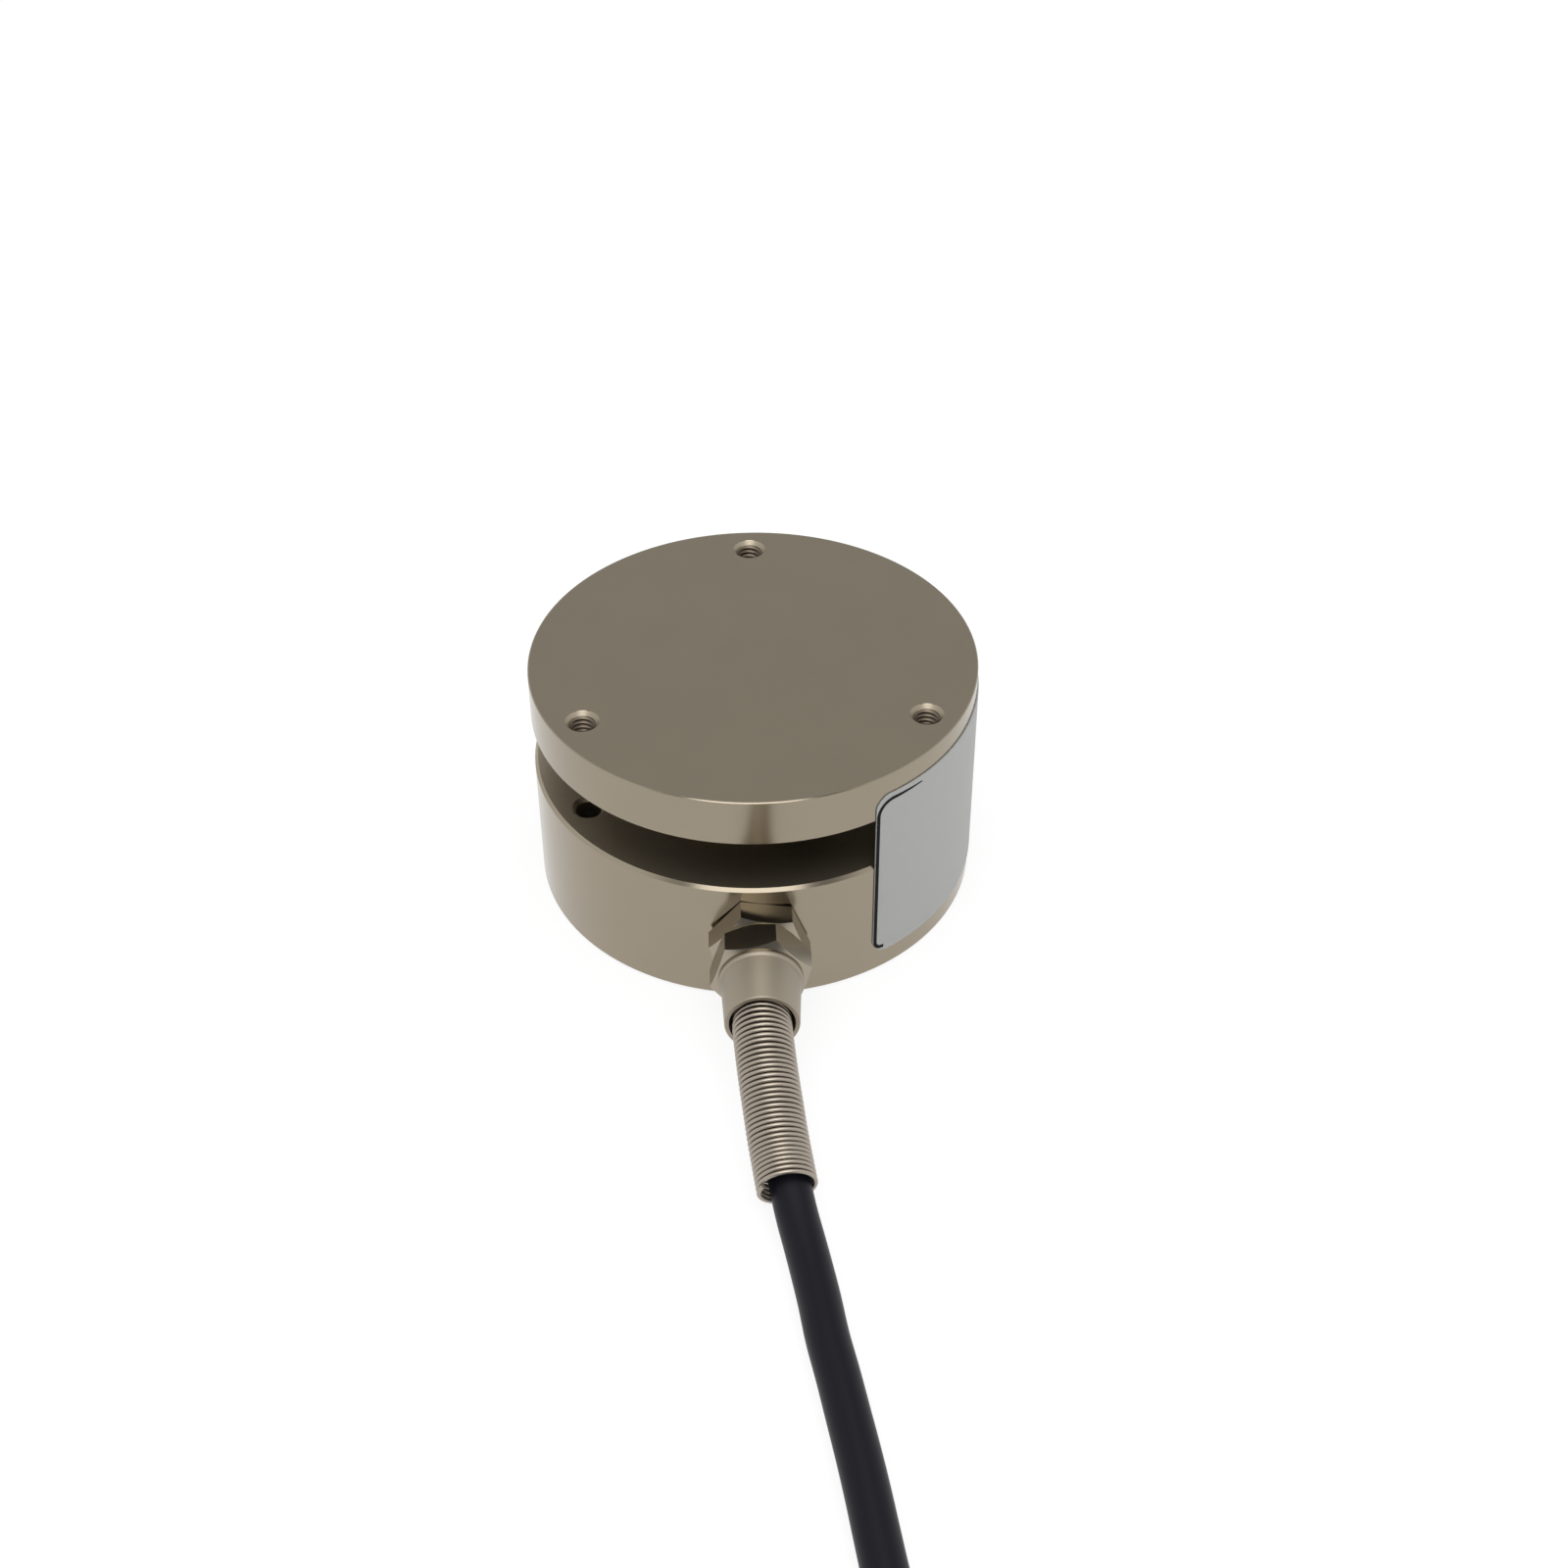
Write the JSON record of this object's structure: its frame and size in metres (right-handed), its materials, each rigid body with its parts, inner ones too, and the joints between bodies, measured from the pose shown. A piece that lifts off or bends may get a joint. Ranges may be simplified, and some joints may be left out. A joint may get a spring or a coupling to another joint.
{
  "type": "strain gauge load cell",
  "caption": "Round two-plate strain gauge load cell with tapped flange holes, side cable gland, coil spring strain relief and cable.",
  "frame": {"origin": "centre of the base's underside, on the body's axis", "axes": "+Z along the body's axis from the base to the load plate, -Y along the cable gland, +X to the nameplate side"},
  "size_m": [0.0991, 0.276, 0.039],
  "materials": {
    "nickel_plated_steel": "satin",
    "spring_steel": "drawn wire",
    "black_rubber": "matt",
    "cable_jacket": "satin",
    "gauge_foil": "polyimide",
    "copper_wire": "enamelled",
    "circuit_board": "solder mask",
    "resistor_body": "glazed",
    "core_red": "smooth",
    "core_black": "smooth",
    "core_green": "smooth",
    "core_white": "smooth",
    "label_film": "metallised film"
  },
  "bodies": {
    "root": {"load_body": "nickel_plated_steel", "bottom_cover": "nickel_plated_steel", "cover_seal": "black_rubber", "cover_screws": "spring_steel", "strain_gauge_1": "gauge_foil", "strain_gauge_2": "gauge_foil", "strain_gauge_3": "gauge_foil", "strain_gauge_4": "gauge_foil", "gauge_wires_1": "copper_wire", "gauge_wires_2": "copper_wire", "gauge_wires_3": "copper_wire", "gauge_wires_4": "copper_wire", "terminal_board": "circuit_board", "zero_trim_resistor": "resistor_body", "span_trim_resistor": "resistor_body", "temperature_resistor": "resistor_body", "inner_core_red": "core_red", "inner_core_black": "core_black", "inner_core_green": "core_green", "inner_core_white": "core_white", "gland_body": "nickel_plated_steel", "gland_ring": "black_rubber", "gland_seal": "black_rubber", "gland_nut": "nickel_plated_steel", "relief_spring": "spring_steel", "cable": "cable_jacket", "cable_coil": "cable_jacket", "cable_tail": "cable_jacket", "coil_ties": "black_rubber", "tail_core_red": "core_red", "tail_core_black": "core_black", "tail_core_green": "core_green", "tail_core_white": "core_white", "nameplate": "label_film"}
  },
  "joints": []
}
